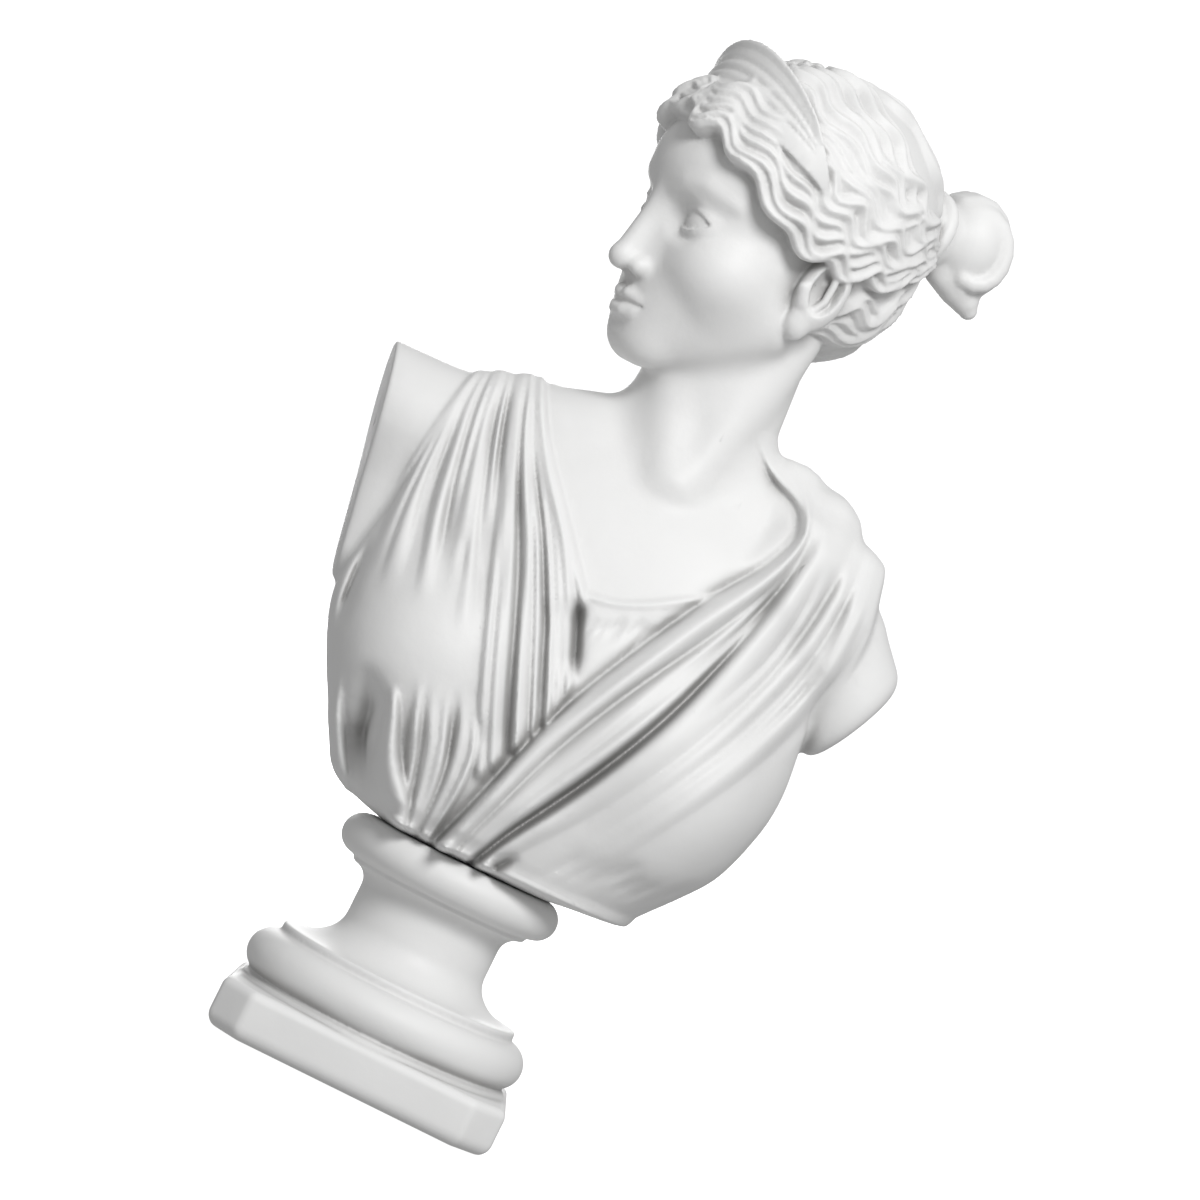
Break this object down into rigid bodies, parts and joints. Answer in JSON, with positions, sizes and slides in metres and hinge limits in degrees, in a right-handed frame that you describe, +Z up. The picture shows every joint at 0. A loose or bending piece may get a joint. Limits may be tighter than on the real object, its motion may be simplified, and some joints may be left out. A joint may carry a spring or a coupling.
{
  "type": "classical bust",
  "caption": "Small white plaster bust of a woman in antique dress, with diadem, knotted hair and cut-off arms, on a turned socle with a square block.",
  "frame": {"origin": "centre of the socle's flat underside", "axes": "+Z up, -Y the front that the chest faces, +X to the viewer's right; the head is turned towards -X"},
  "size_m": [0.1597, 0.0899, 0.2952],
  "materials": {
    "bust_plaster": "matte white plaster, slightly satin",
    "socle_plaster": "matte white plaster, slightly satin"
  },
  "bodies": {
    "root": {"bust": "bust_plaster", "socle": "socle_plaster"}
  },
  "joints": []
}
